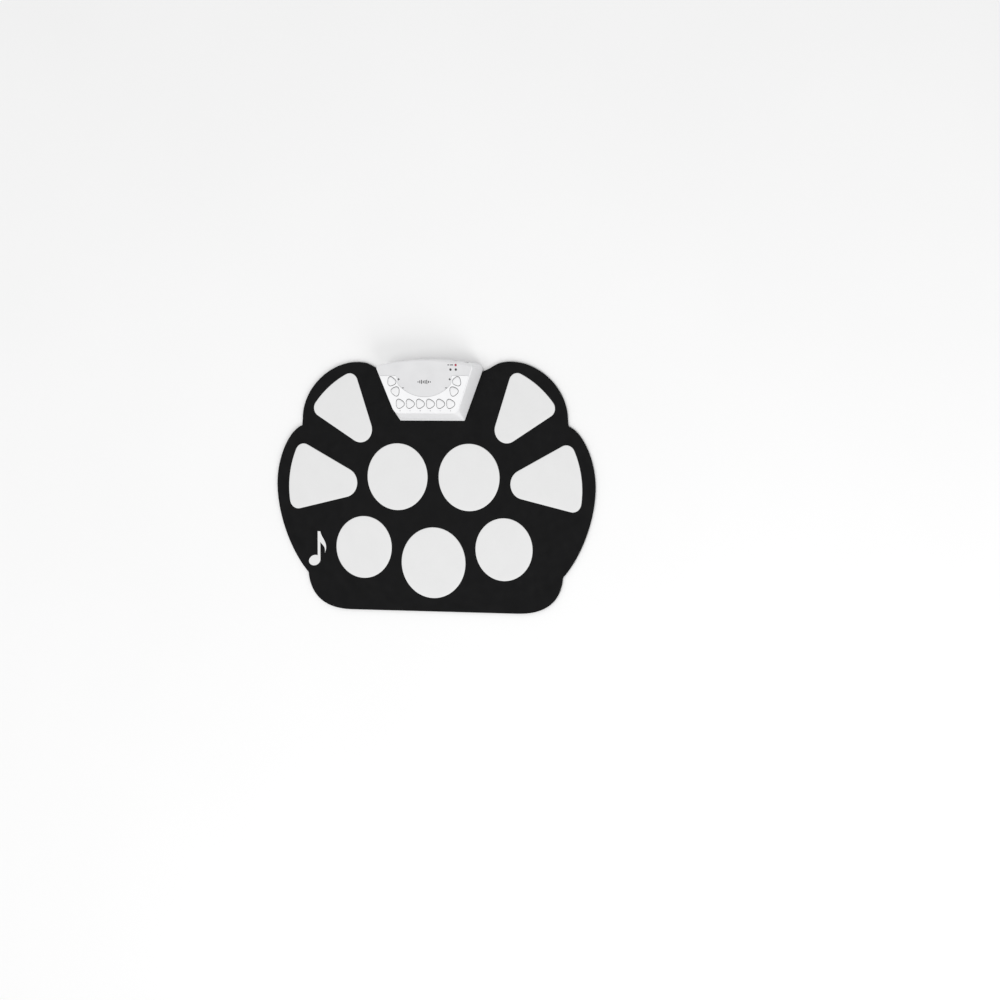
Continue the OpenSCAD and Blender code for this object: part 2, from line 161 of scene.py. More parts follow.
def stack(bm, outline, section, place=on_table):
    """Rings of an outline up a section of (inset, height) pairs, bridged. Gives the first and last ring."""
    return loft(bm, [loop(inset(outline, depth), height, place) for depth, height in section])


def fill_edges(bm, edges):
    """Fills the flat area that these edges enclose with well-shaped triangles, leaving holes open."""
    verts = list(dict.fromkeys(v for e in edges for v in e.verts))
    number = {v: i for i, v in enumerate(verts)}
    first = verts[0].co
    across = max((v.co - first for v in verts), key=lambda d: d.length)
    normal = max(((v.co - first).cross(across) for v in verts), key=lambda n: n.length)
    flat = normal.rotation_difference(Vector((0, 0, 1))).to_matrix()
    points = [(flat @ v.co).to_2d() for v in verts]
    pairs = [tuple(number[v] for v in e.verts) for e in edges]
    segments = [(points[a], points[b]) for a, b in pairs]
    result = delaunay_2d_cdt(points, pairs, [], INSIDE, 1e-7)
    for corners in result[2]:
        corners = [result[3][i][0] for i in corners]
        if is_inside(sum((points[i] for i in corners), Vector((0, 0))) / 3, segments):
            bm.faces.new([verts[i] for i in corners])


def fill(bm, *rings):
    """Fills the flat area inside the first ring and outside the others."""
    pairs = [(ring[i - 1], ring[i]) for ring in rings for i in range(len(ring))]
    fill_edges(bm, [bm.edges.get(pair) or bm.edges.new(pair) for pair in pairs])


def close(bm):
    bmesh.ops.recalc_face_normals(bm, faces=bm.faces)


def finished(name, bm, finish, sharp=50):
    """Turns a mesh built in millimetres into an object in metres, smooth except at sharp edges."""
    for vert in bm.verts:
        vert.co *= MM
    rest = bm.verts.layers.float_vector.new("rest_place")
    for vert in bm.verts:
        vert[rest] = vert.co
    for face in bm.faces:
        face.smooth = True
    for edge in bm.edges:
        edge.smooth = len(edge.link_faces) != 2 or edge.calc_face_angle(0) < math.radians(sharp)
    mesh = bpy.data.meshes.new(name)
    bm.to_mesh(mesh)
    bm.free()
    mesh.materials.append(finish)
    piece = bpy.data.objects.new(name, mesh)
    bpy.context.scene.collection.objects.link(piece)
    return piece


def placed_on(piece, body, slot_name="", *nodes):
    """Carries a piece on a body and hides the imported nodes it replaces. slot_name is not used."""
    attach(piece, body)
    if nodes:
        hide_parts(*nodes)


def built(name, bm, finish, body, slot_name="", *nodes):
    """Closes a mesh, finishes it, and puts it on its body."""
    close(bm)
    piece = finished(name, bm, finish)
    placed_on(piece, body, slot_name, *nodes)
    return piece


def plate(bm, outline, section, place=on_table):
    """A closed solid from one outline."""
    bottom, top = stack(bm, outline, section, place)
    fill(bm, bottom)
    fill(bm, top)


# %% [markdown]
# ## Finishes
#
# Every surface is moulded rubber or plastic, so none of them is one flat colour.
# The helpers below build small node trees: a noise that reads the place on the
# piece, a ramp that turns it into a colour, and a bump for the grain. The mat
# rolls up, so its noise reads the place that each point had when it lay flat,
# stored on the mesh as rest_place, and the grain stays put on the rubber.

# %% Material helpers
def new_finish(name, rest_place=False):
    """An empty material with its shader, and the coordinates its patterns read."""
    finish = bpy.data.materials.new(name)
    finish.use_nodes = True
    tree = finish.node_tree
    shader = tree.nodes["Principled BSDF"]
    if rest_place:
        source = tree.nodes.new("ShaderNodeAttribute")
        source.attribute_name = "rest_place"
        place = source.outputs["Vector"]
    else:
        place = tree.nodes.new("ShaderNodeTexCoord").outputs["Object"]
    return finish, tree, shader, place


def noise(tree, place, grain_mm, detail=2.0, roughness=0.5):
    """Noise with grains of about this size in millimetres."""
    node = tree.nodes.new("ShaderNodeTexNoise")
    node.inputs["Scale"].default_value = 1 / (grain_mm * MM)
    node.inputs["Detail"].default_value = detail
    node.inputs["Roughness"].default_value = roughness
    tree.links.new(place, node.inputs["Vector"])
    return node.outputs["Fac"]


def ramp(tree, value, stops):
    """A ramp from (position, colour) stops; a single number is a grey."""
    node = tree.nodes.new("ShaderNodeValToRGB")
    while len(node.color_ramp.elements) < len(stops):
        node.color_ramp.elements.new(0.5)
    for element, (position, colour) in zip(node.color_ramp.elements, stops):
        element.position = position
        element.color = (*colour, 1) if isinstance(colour, tuple) else (colour, colour, colour, 1)
    tree.links.new(value, node.inputs["Fac"])
    return node.outputs["Color"]


def bump(tree, shader, height, depth_mm, strength, under=None):
    """A bump on the shader, on top of another bump if one is given."""
    node = tree.nodes.new("ShaderNodeBump")
    node.inputs["Distance"].default_value = depth_mm * MM
    node.inputs["Strength"].default_value = strength
    tree.links.new(height, node.inputs["Height"])
    if under is not None:
        tree.links.new(under, node.inputs["Normal"])
    tree.links.new(node.outputs["Normal"], shader.inputs["Normal"])
    return node.outputs["Normal"]


def moulded(name, dark, light, gloss, grain_mm, depth_mm, blotch_mm=18, rest_place=False, specular=0.5):
    """A moulded finish: blotches between two colours, uneven gloss, and a fine grain."""
    finish, tree, shader, place = new_finish(name, rest_place)
    blotches = noise(tree, place, blotch_mm, detail=4)
    tree.links.new(ramp(tree, blotches, [(0.35, dark), (0.65, light)]), shader.inputs["Base Color"])
    sheen = ramp(tree, noise(tree, place, blotch_mm * 0.6, detail=3),
                 [(0.3, gloss - 0.05), (0.7, gloss + 0.05)])
    tree.links.new(sheen, shader.inputs["Roughness"])
    shader.inputs["Specular IOR Level"].default_value = specular
    bump(tree, shader, noise(tree, place, grain_mm, detail=2), depth_mm, 0.5)
    return finish


# %% [markdown]
# The mat's silicone is near black with a soft bloom of dust and a fine cast
# texture. The pads are the same rubber in white, smoother. The module's shells
# are spark-eroded white plastic, its bezel and keys a little shinier, and the
# label between them a thin grey film.

# %% Rubber and plastic finishes
def silicone(name, dark, light, gloss, dust, specular):
    """Cast silicone: soft blotches, fine dust specks, pebbled grain over gentle waves."""
    finish, tree, shader, place = new_finish(name, rest_place=True)
    blotches = ramp(tree, noise(tree, place, 25, detail=5), [(0.3, dark), (0.7, light)])
    specks = ramp(tree, noise(tree, place, 0.9, detail=1), [(0.70, 0.0), (0.78, 1.0)])
    mix = tree.nodes.new("ShaderNodeMix")
    mix.data_type = "RGBA"
    tree.links.new(specks, mix.inputs["Factor"])
    tree.links.new(blotches, mix.inputs["A"])
    mix.inputs["B"].default_value = (*dust, 1)
    tree.links.new(mix.outputs["Result"], shader.inputs["Base Color"])
    uneven = ramp(tree, noise(tree, place, 12, detail=3), [(0.3, gloss - 0.06), (0.7, gloss + 0.06)])
    tree.links.new(uneven, shader.inputs["Roughness"])
    shader.inputs["Specular IOR Level"].default_value = specular
    waves = bump(tree, shader, noise(tree, place, 40, detail=1), 0.25, 0.35)
    bump(tree, shader, noise(tree, place, 0.55, detail=2), 0.03, 0.45, waves)
    return finish


mat_black = silicone("mat_black_silicone", (0.0042, 0.0042, 0.0045), (0.0060, 0.0060, 0.0063), 0.66,
                     (0.012, 0.012, 0.013), 0.10)
pad_white = silicone("pad_white_silicone", (0.775, 0.775, 0.775), (0.79, 0.79, 0.79), 0.50,
                     (0.72, 0.72, 0.72), 0.35)
shell_white = moulded("shell_white_plastic", (0.87, 0.87, 0.88), (0.89, 0.89, 0.90), 0.42, 0.35, 0.02)
bezel_white = moulded("bezel_white_plastic", (0.85, 0.85, 0.86), (0.87, 0.87, 0.88), 0.30, 0.5, 0.008)
label_grey = moulded("label_grey_film", (0.70, 0.70, 0.71), (0.73, 0.73, 0.74), 0.38, 0.25, 0.006)
key_white = moulded("key_white_plastic", (0.82, 0.82, 0.83), (0.86, 0.86, 0.87), 0.36, 0.4, 0.012)
print_grey = moulded("printed_grey_ink", (0.022, 0.022, 0.024), (0.034, 0.034, 0.036), 0.6, 0.2, 0.003,
                     specular=0.2)
sign_grey = moulded("printed_pale_grey_ink", (0.42, 0.42, 0.43), (0.48, 0.48, 0.49), 0.55, 0.2, 0.003)
part_black = moulded("moulded_black_plastic", (0.012, 0.012, 0.013), (0.02, 0.02, 0.021), 0.45, 0.3, 0.02)
foot_rubber = moulded("foot_rubber", (0.02, 0.02, 0.02), (0.032, 0.032, 0.032), 0.75, 0.4, 0.03)
membrane_grey = moulded("membrane_grey_rubber", (0.34, 0.34, 0.36), (0.4, 0.4, 0.42), 0.6, 0.5, 0.02)
ribbon_amber = moulded("ribbon_amber_film", (0.42, 0.2, 0.03), (0.5, 0.26, 0.05), 0.25, 0.6, 0.004)
print("rubber and plastic finishes made")

# %% [markdown]
# Metal parts are plated steel and brass: metallic shaders whose roughness is
# broken up by fine noise. The circuit boards get green solder mask with a faint
# pattern of tracks, and the lamps are clear resin, one red and two unlit.

# %% Metal, board and lamp finishes
def metal(name, dark, light, gloss):
    finish, tree, shader, place = new_finish(name)
    tree.links.new(ramp(tree, noise(tree, place, 3, detail=3), [(0.3, dark), (0.7, light)]),
                   shader.inputs["Base Color"])
    tree.links.new(ramp(tree, noise(tree, place, 1.2, detail=4), [(0.3, gloss - 0.07), (0.7, gloss + 0.07)]),
                   shader.inputs["Roughness"])
    shader.inputs["Metallic"].default_value = 1.0
    bump(tree, shader, noise(tree, place, 0.3), 0.01, 0.3)
    return finish


def circuit_board(name):
    """Green solder mask with slightly raised tracks, drawn by a brick pattern."""
    finish, tree, shader, place = new_finish(name)
    tracks = tree.nodes.new("ShaderNodeTexBrick")
    tracks.inputs["Scale"].default_value = 1 / (2.4 * MM)
    tracks.inputs["Mortar Size"].default_value = 0.06
    tracks.inputs["Color1"].default_value = (0.012, 0.13, 0.045, 1)
    tracks.inputs["Color2"].default_value = (0.010, 0.11, 0.038, 1)
    tracks.inputs["Mortar"].default_value = (0.03, 0.24, 0.08, 1)
    tree.links.new(place, tracks.inputs["Vector"])
    tree.links.new(tracks.outputs["Color"], shader.inputs["Base Color"])
    shader.inputs["Roughness"].default_value = 0.28
    bump(tree, shader, tracks.outputs["Fac"], 0.03, 0.4)
    return finish


def resin(name, dark, light, glow):
    finish, tree, shader, place = new_finish(name)
    tree.links.new(ramp(tree, noise(tree, place, 1.5), [(0.3, dark), (0.7, light)]),
                   shader.inputs["Base Color"])
    shader.inputs["Roughness"].default_value = 0.22
    shader.inputs["Coat Weight"].default_value = 0.2
    if glow:
        shader.inputs["Emission Color"].default_value = (*light, 1)
        shader.inputs["Emission Strength"].default_value = glow
    bump(tree, shader, noise(tree, place, 2), 0.01, 0.2)
    return finish


plated_steel = metal("plated_steel", (0.55, 0.55, 0.57), (0.66, 0.66, 0.68), 0.28)
sensor_brass = metal("sensor_brass", (0.60, 0.42, 0.14), (0.72, 0.52, 0.2), 0.32)
board_green = circuit_board("circuit_board_green")
lamp_red = resin("lamp_red_resin", (0.34, 0.003, 0.03), (0.46, 0.004, 0.04), 0.05)
lamp_dark = resin("lamp_unlit_resin", (0.008, 0.008, 0.009), (0.014, 0.014, 0.015), 0)
cell_sleeve = moulded("cell_printed_sleeve", (0.02, 0.06, 0.22), (0.03, 0.08, 0.28), 0.25, 0.8, 0.004)
print("materials:", len(bpy.data.materials))

# %% [markdown]
# ## The mat
#
# The mat's outline is three lobes a side that meet in small notches, and a flat
# near edge. One half is five curves; the other half is its mirror image. At the
# far edge the mat steps back under the module, where a thin tongue goes on
# between the module's two shells.

# %% Outline of the mat
MAT_T = 3.2
PAD_TOP = 3.5
POCKET_FLOOR = 2.0

SHOULDER = (69.5, 145.5)
LOBE_TOP = (108.9, 158.3)
LOBE_SIDE = (188.2, 85.0)
UPPER_NOTCH = (188.9, 76.5)
SIDE_WIDEST = (226.0, 0.0)
LOWER_NOTCH = (181.2, -114.5)
FOOT_START = (118.0, -162.0)

MODULE_FRONT = 83.0
MODULE_FRONT_HALF = 45.5
LEAN = 21.8


def beside(point, right, up):
    return (point[0] + right, point[1] + up)


def side_line(inwards, y):
    """Half the module's width at y, on its straight leaning side, moved inwards."""
    lean = math.radians(LEAN)
    return MODULE_FRONT_HALF + (y - MODULE_FRONT) * math.tan(lean) - inwards / math.cos(lean)


half_mat = (
    curve(SHOULDER, beside(SHOULDER, 17, 5.2), beside(LOBE_TOP, -21, 0), LOBE_TOP)[1:]
    + curve(LOBE_TOP, beside(LOBE_TOP, 39.6, 0), beside(LOBE_SIDE, 0, 39.3), LOBE_SIDE, 24)
    + curve(UPPER_NOTCH, beside(UPPER_NOTCH, 20, -7), beside(SIDE_WIDEST, 0, 34), SIDE_WIDEST, 24)
    + curve(SIDE_WIDEST, beside(SIDE_WIDEST, 0, -40.6), beside(LOWER_NOTCH, 25, 26), LOWER_NOTCH, 24)
    + curve(beside(LOWER_NOTCH, -0.4, -1), beside(LOWER_NOTCH, -3.9, -33), beside(FOOT_START, 36.7, 0),
            FOOT_START)
)
STEP_BACK = 0.2
TONGUE_REAR = 146
seat = [(side_line(STEP_BACK, y), y) for y in (TONGUE_REAR, MODULE_FRONT + STEP_BACK)]
mat_outline = without_repeats(half_mat[::-1] + seat + mirrored(half_mat[::-1] + seat))
print("mat outline:", len(mat_outline), "points")

# %% [markdown]
# ## The pads
#
# Five of the pads are round. The four cymbal pads are wedges: two straight edges
# that close towards the player, an outer arc, and three rounded corners. The
# corners are worked out as circles that touch both of their neighbours, so the
# outline stays smooth where one arc runs into the next.

# %% Outlines of the pads
def along(angle):
    return Vector((math.cos(math.radians(angle)), math.sin(math.radians(angle))))


def reach(start, direction, centre, radius):
    """How far along a direction a circle lies."""
    away = start - centre
    k = away.dot(direction)
    return math.sqrt(k * k - away.dot(away) + radius * radius) - k


def wedge(upper, upper_angle, lower, lower_angle, centre, radius, tip, corner):
    """A wedge between two straight edges and an outer arc, with round corners."""
    centre = Vector(centre)
    up, down = along(upper_angle), along(lower_angle)
    in_up, in_down = Vector((up.y, -up.x)), Vector((-down.y, down.x))
    a, b = Vector(upper) + tip * in_up, Vector(lower) + tip * in_down
    tip_centre = a + up * ((b - a).cross(down) / up.cross(down))
    a, b = Vector(upper) + corner * in_up, Vector(lower) + corner * in_down
    far = a + up * reach(a, up, centre, radius - corner)
    near = b + down * reach(b, down, centre, radius - corner)
    far_angle = math.degrees(math.atan2(*(far - centre).yx))
    near_angle = math.degrees(math.atan2(*(near - centre).yx))
    return without_repeats(
        arc(tip_centre, tip, upper_angle + 90, lower_angle + 270, 16)
        + arc(near, corner, lower_angle - 90, near_angle, 10)
        + arc(centre, radius, near_angle, far_angle, 30)
        + arc(far, corner, far_angle, upper_angle + 90, 10)
    )


def disc(x, y, radius, steps=96):
    return arc((x, y), radius, 0, 360, steps)[:-1]


upper_cymbal = wedge((98, 105.9), 71.2, (137.5, 71.9), 31.3, (67.9, 28.2), 127.5, 16.9, 11.5)
lower_cymbal = wedge((151.4, 35.8), 27.3, (157.7, -23.9), -12.8, (88.9, -4), 119.6, 19, 12)
pads = {
    "upper_cymbal_pad_right": upper_cymbal,
    "upper_cymbal_pad_left": mirrored(upper_cymbal),
    "lower_cymbal_pad_right": lower_cymbal,
    "lower_cymbal_pad_left": mirrored(lower_cymbal),
    "tom_pad_right": disc(50.9, 10.6, 43),
    "tom_pad_left": disc(-50.9, 10.6, 43),
    "floor_pad_right": disc(99.6, -80.8, 40),
    "floor_pad_left": disc(-99.6, -80.8, 40),
    "middle_pad": disc(0, -99.3, 45.4),
}
for name, outline in pads.items():
    xs, ys = zip(*outline)
    print(f"{name}: {max(xs) - min(xs):.1f} x {max(ys) - min(ys):.1f} mm")

# %% [markdown]
# ## One sheet, cut across at the roll lines
#
# A sheet of rubber bends everywhere, but a piece can follow only two bodies. So
# the sheet is built whole and then cut across, halfway between each two roll
# lines. Each cut piece holds one roll line and gets a row of edges every
# millimetre and a half; here the pieces stay flat.

# %% Cut lines and pieces
roll_lines = [j["pos_m"][1] / MM for j in frame["joints"] if j["name"].startswith("roll_")]
PAST_THE_MAT = 170.0
cut_lines = [roll_lines[0]] + [(a + b) / 2 for a, b in zip(roll_lines, roll_lines[1:])] + [-PAST_THE_MAT]
ROW = 1.5
ON_LINE = 0.002


def slice_across(bm, low, high):
    """The part of a closed mesh between two lines across the mat, with its cut ends closed."""
    part = bm.copy()
    for y, side in ((high, 1), (low, -1)):
        cut = bmesh.ops.bisect_plane(part, geom=part.verts[:] + part.edges[:] + part.faces[:], dist=ON_LINE,
                                     plane_co=(0, y, 0), plane_no=(0, side, 0), clear_outer=True)
        edges = [g for g in cut["geom_cut"] if isinstance(g, bmesh.types.BMEdge)]
        if edges:
            fill_edges(part, edges)
    return part


def rows_across(bm, low, high):
    """Adds a row of edges every ROW millimetres, so the piece can bend."""
    count = max(1, round((high - low) / ROW))
    for i in range(1, count):
        y = low + (high - low) * i / count
        bmesh.ops.bisect_plane(bm, geom=bm.verts[:] + bm.edges[:] + bm.faces[:], dist=ON_LINE,
                               plane_co=(0, y, 0), plane_no=(0, 1, 0))


def bend(piece):
    """Bakes a piece's placement into its mesh; the piece is not bent."""
    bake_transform(piece)


def lay_sheet(name, whole, finish, replaced):
    """Cuts a whole sheet up: a stiff piece on the head, then one flat piece for each roll line."""
    made = []
    ys = [v.co.y for v in whole.verts]
    for k in range(len(roll_lines) + 1):
        high = PAST_THE_MAT if k == 0 else cut_lines[k - 1]
        low = cut_lines[k]
        if low >= max(ys) or high <= min(ys):
            continue
        part = slice_across(whole, low, high)
        if not part.faces:
            continue
        if k:
            rows_across(part, max(low, min(ys)), min(high, max(ys)))
        close(part)
        piece = finished(f"{name}_{k}", part, finish)
        if k:
            bend(piece)
        else:
            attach(piece, "head")
        if replaced(k):
            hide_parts(*replaced(k))
        made.append(piece)
    whole.free()
    return made


print("roll lines at", [round(y, 1) for y in roll_lines])

# %% [markdown]
# The mat has a rounded outer edge and a pocket for each pad. The pocket's rim is
# rolled over slightly, which draws the thin shadow line round each pad.

# %% Make the mat
MAT_EDGE = [(1.2, 0.0), (0.7, 0.0), (0.25, 0.12), (0.04, 0.45), (0.0, 0.8), (0.0, 2.4), (0.05, 2.75),
            (0.28, 3.08), (0.7, MAT_T), (1.2, MAT_T)]
POCKET_EDGE = [(-0.1, POCKET_FLOOR), (-0.1, 2.85), (-0.18, 3.08), (-0.42, MAT_T), (-0.8, MAT_T)]

mat = bmesh.new()
bottom, top = stack(mat, mat_outline, MAT_EDGE)
rims = []
for outline in pads.values():
    floor_ring, rim = stack(mat, outline, POCKET_EDGE)
    fill(mat, floor_ring)
    rims.append(rim)
fill(mat, bottom)
fill(mat, top, *rims)
close(mat)
mat_pieces = lay_sheet("mat", mat, mat_black,
                       lambda k: [f"mat_strip_{k}"] if k else ["mat_head"])
print("mat pieces:", len(mat_pieces), "faces:", sum(len(p.data.polygons) for p in mat_pieces))

# %% [markdown]
# Each pad is a soft white inlay: a plug that fills its pocket, a rolled edge just
# above the mat, and a top that rises a fraction of a millimetre to its middle.

# %% Make the pads
PAD_EDGE = [(0.0, POCKET_FLOOR + 0.02), (0.0, 2.95), (0.06, 3.12), (0.25, 3.25), (0.8, 3.34), (2.2, 3.42),
            (5.0, PAD_TOP), (6.5, PAD_TOP)]


def pad_nodes(name, k):
    """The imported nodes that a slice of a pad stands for. One pad's slice speaks for its whole row."""
    if name.startswith("upper"):
        return [name]
    speaks_for = {"lower_cymbal_pad_right": (1, 2, 3), "floor_pad_right": (4, 5, 6, 7)}
    return [f"pads_strip_{k}"] if k in speaks_for.get(name, ()) else []


pad_pieces = []
for name, outline in pads.items():
    pad = bmesh.new()
    plate(pad, outline, PAD_EDGE)
    close(pad)
    pad_pieces += lay_sheet(name, pad, pad_white, lambda k, name=name: pad_nodes(name, k))
print("pad pieces:", len(pad_pieces))

# %% [markdown]
# A printed mark in white ink sits near the left edge: here a plain eighth note.
# It is one outline - a tilted oval head, a stem, and a curled flag - laid as a
# film a tenth of a millimetre thick, and cut across at the roll lines like the pads.

# %% Make the printed note
def note_outline(x, y, top):
    """An eighth note with its head centred on (x, y) and its stem up to top."""
    tilt = math.radians(20)

    def on_head(angle):
        a = math.radians(angle)
        along_head, across_head = 8.6 * math.cos(a), 6.6 * math.sin(a)
        return (x + along_head * math.cos(tilt) - across_head * math.sin(tilt),
                y + along_head * math.sin(tilt) + across_head * math.cos(tilt))

    stem = on_head(-15)[0]
    tip = (stem + 6.5, top - 28)
    head = [on_head(42 + (345 - 42) * i / 40) for i in range(41)]
    flag = (curve((stem, top - 14), (stem + 3, top - 18), (stem + 8, top - 19), tip, 12)
            + curve(tip, (stem + 13, top - 15), (stem + 1.5, top - 9), (stem, top), 14)[1:])
    return head + flag + [(stem - 3.8, top)]


note = bmesh.new()
plate(note, note_outline(-171.5, -99.2, -61.5), [(0, 3.05), (0, 3.24), (0.12, 3.29), (0.3, 3.3)])
close(note)
note_pieces = lay_sheet("printed_note", note, pad_white, lambda k: [])
print("note pieces:", len(note_pieces))

# %% [markdown]
# ## The sound module
#
# The module's plan has a short straight front, two sides that lean outwards, and
# one long arc at the rear. The same function gives every level of it: the base,
# the top (set further in, with rounder corners), and the rims on the top. All
# levels have the same number of points, so they can be bridged into one skin.

# %% Outline of the module
REAR_CENTRE = Vector((0, -168))
REAR_R = 330
TOP_H = 23.0
TOP_TILT = math.radians(5)
TOP_ROUND = 11
WALL = 2.0
SEAT = 3.3


def on_top(x, y, z):
    """A point measured from the module's tilted top plane."""
    far = y - MODULE_FRONT
    return Vector((x, MODULE_FRONT + far * math.cos(TOP_TILT) - z * math.sin(TOP_TILT),
                   TOP_H + far * math.sin(TOP_TILT) + z * math.cos(TOP_TILT)))


def module_plan(front, side, rear, nose):
    """The module's outline, anticlockwise, moved in by three distances, with front corners of radius nose."""
    ahead, outward = along(90 - LEAN), along(-LEAN)
    corner = max(8 - side, 1.5)
    start = Vector((MODULE_FRONT_HALF, MODULE_FRONT))
    line = start - (side + nose) * outward
    front_centre = line + ahead * ((MODULE_FRONT + front + nose - line.y) / ahead.y)
    line = start - (side + corner) * outward
    rear_centre = line + ahead * reach(line, ahead, REAR_CENTRE, REAR_R - rear - corner)
    turn = math.degrees(math.atan2(rear_centre.y - REAR_CENTRE.y, rear_centre.x))
    half = (arc(front_centre, nose, -90, -LEAN, 8) + arc(rear_centre, corner, -LEAN, turn, 8)
            + arc(REAR_CENTRE, REAR_R - rear, turn, 90, 12)[1:])
    return half[:-1] + mirrored(half)


def base_plan(inwards):
    return module_plan(inwards, inwards, inwards, 1.5)


def top_plan(inwards):
    return module_plan(9 + inwards, 4 + inwards, 1 + inwards, TOP_ROUND - inwards)


def between(a, b, share):
    return [p.lerp(q, share) for p, q in zip(a, b)]


def solid(bm, loops):
    """A closed solid through loops, with both ends filled."""
    for ring in loft(bm, loops):
        fill(bm, ring)


KEY_R, KEY_LOBE, KEY_GAP = 5.9, 0.6, 0.25
keys = {f"function_key_{i}": ((i - 3.5) * 14.3, 105, 0) for i in range(1, 7)}
keys["tempo_up_key"] = (46.3, 133.7, 90 - LEAN)
keys["tempo_down_key"] = (41.3, 121, 270 - LEAN)
keys["volume_up_key"] = (-46.3, 133.7, 90 + LEAN)
keys["volume_down_key"] = (-41.3, 121, LEAN - 90)
lamps = [(45.3, 154.5), (45.3, 148.7), (37.8, 148.7)]


def key_outline(key, grow):
    """A rounded triangle: a circle whose radius swells three times on the way round."""
    x, y, turn = keys[key]
    angles = [360 * i / 48 for i in range(48)]
    radii = [KEY_R + grow + KEY_LOBE * math.cos(math.radians(3 * a)) for a in angles]
    return [tuple(Vector((x, y)) + along(a + turn) * r) for a, r in zip(angles, radii)]


print("module outline:", len(base_plan(0)), "points, keys:", len(keys))

# %% [markdown]
# The top shell is a two millimetre skin: up the outside, over a rounded top
# edge, down the inside, and open underneath. The holes for the keys and lamps
# join the outer and inner faces of its top. Holes for the jacks and the power
# socket are then cut through the curved rear wall with a Boolean.

# %% Make the top shell
def cut_away(piece, cutters):
    """Cuts closed meshes away from a piece and keeps the result as a plain mesh."""
    mesh = bpy.data.meshes.new("cutters")
    cutters.transform(Matrix.Scale(MM, 4))
    cutters.to_mesh(mesh)
    cutters.free()
    tool = bpy.data.objects.new("cutters", mesh)
    bpy.context.scene.collection.objects.link(tool)
    boolean = piece.modifiers.new("cut", "BOOLEAN")
    boolean.operation = "DIFFERENCE"
    boolean.solver = "EXACT"
    boolean.object = tool
    replace_by_result(piece)
    bpy.data.objects.remove(tool)
    bpy.data.meshes.remove(mesh)


def replace_by_result(piece):
    """Swaps a piece's mesh for what its modifiers give, and removes the modifiers."""
    view = bpy.context.evaluated_depsgraph_get()
    result = bpy.data.meshes.new_from_object(piece.evaluated_get(view))
    piece.modifiers.clear()
    piece.data = result


def lathe(bm, profile, place, steps=40):
    """A closed solid of revolution. The profile lists (radius, height) pairs."""
    circle = disc(0, 0, 1, steps)
    solid(bm, [[place(x * r, y * r, z) for x, y in circle] for r, z in profile])


def facing_rear(x0, z0):
    """A place whose height runs along +Y, for things that point out of the rear wall."""
    return lambda x, y, z: Vector((x0 + x, z, z0 - y))


def box_outline(x0, x1, y0, y1, radius, steps=4):
    """A rectangle with round corners, listed anticlockwise."""
    corners = ((x1 - radius, y0 + radius), (x1 - radius, y1 - radius),
               (x0 + radius, y1 - radius), (x0 + radius, y0 + radius))
    return [p for k, corner in enumerate(corners) for p in arc(corner, radius, 90 * k - 90, 90 * k, steps)]


JACKS = (-52, -36, 36, 52)
JACK_Z = 12

shell = bmesh.new()
foot, crown = loop(base_plan(0), 4.8), loop(top_plan(0), -1.3, on_top)
inner_top, outer_top = loft(shell, [
    loop(module_plan(9 + WALL, 4 + WALL, 1.9, TOP_ROUND - WALL), -WALL, on_top),
    loop(base_plan(WALL), 4.8),
    loop(base_plan(WALL), SEAT),
    loop(base_plan(0.5), SEAT),
    loop(base_plan(0.12), 3.45),
    loop(base_plan(0), 3.9),
    foot,
    between(foot, crown, 0.05),
    between(foot, crown, 0.95),
    crown,
    loop(top_plan(0.15), -0.65, on_top),
    loop(top_plan(0.45), -0.22, on_top),
    loop(top_plan(0.95), 0, on_top),
    loop(top_plan(1.5), 0, on_top),
])
holes = [key_outline(key, KEY_GAP) for key in keys] + [disc(x, y, 1.6, 32) for x, y in lamps]
ends = [loft(shell, [loop(hole, -WALL, on_top), loop(hole, 0, on_top)]) for hole in holes]
fill(shell, inner_top, *[end[0] for end in ends])
fill(shell, outer_top, *[end[1] for end in ends])
close(shell)
top_shell = finished("shell_top", shell, shell_white)

openings = bmesh.new()
for x in JACKS:
    lathe(openings, [(3.15, 150), (3.15, 170)], facing_rear(x, JACK_Z))
solid(openings, [[Vector((x, y, z)) for x, z in box_outline(-4.1, 4.1, 16.1, 19.3, 0.9)]
                 for y in (150, 170)])
close(openings)
cut_away(top_shell, openings)
placed_on(top_shell, "head", "shell_plastic", "top_shell")
print("top shell faces:", len(top_shell.data.polygons))

# %% [markdown]
# The bezel is a glossy frame set on the top, with two arms that hold a round
# dish between them. It carries all the keys. Its edges and the rims of the key
# holes are rolled over, so each key sits in its own soft dark groove.

# %% Make the bezel
BEZEL_T = 0.9
DISH_CENTRE, DISH_R = (0, 165.5), 51.7
CHEEK_CENTRE, CHEEK_R = (0, 140), 38.8
ARM_END = 141


def rounded_corner(before, corner, after, size, steps=6):
    """Points that round a corner between two neighbours, starting size away from it."""
    a, c, b = Vector(before), Vector(corner), Vector(after)
    p, q = c + (a - c).normalized() * size, c + (b - c).normalized() * size
    return curve(tuple(p), tuple(p.lerp(c, 0.6)), tuple(q.lerp(c, 0.6)), tuple(q), steps)


